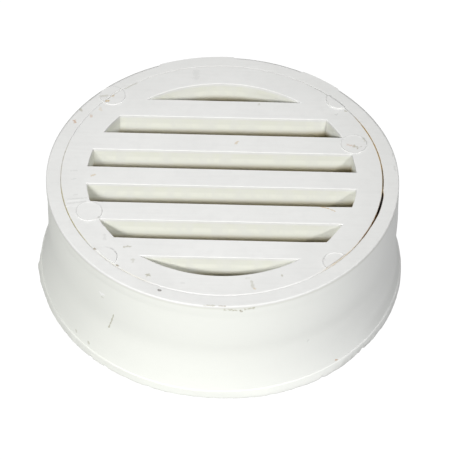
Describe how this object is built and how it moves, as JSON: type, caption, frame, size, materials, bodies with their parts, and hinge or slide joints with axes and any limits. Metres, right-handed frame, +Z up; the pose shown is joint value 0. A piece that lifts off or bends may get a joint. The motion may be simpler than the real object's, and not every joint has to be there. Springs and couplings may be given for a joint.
{
  "type": "roof vent cover",
  "caption": "Round moulded vent cover: a skirted housing that slips over a round duct, with a flush slotted grille insert that lifts out and carries an insect screen.",
  "frame": {"origin": "centre of the foot's underside, on the axis of the round body", "axes": "+Z up along the body's axis, out through the grille's face; +X along the slots and bars; -Y is the front"},
  "size_m": [0.1152, 0.1152, 0.0385],
  "materials": {
    "housing_pvc": "white moulded PVC, satin, slightly creamy in the shade",
    "grille_pvc": "white moulded PVC, satin, with faint mould marks",
    "screen_wire": "fine woven stainless wire",
    "ring_pvc": "white moulded PVC, plain"
  },
  "bodies": {
    "housing": {"housing": "housing_pvc"},
    "insert": {"grille": "grille_pvc", "insect_screen": "screen_wire", "retaining_ring": "ring_pvc"}
  },
  "joints": [
    {"name": "insert_lift", "type": "slide", "parent": "housing", "child": "insert", "axis": [0, 0, 1], "range_m": [0, 0.014]}
  ]
}
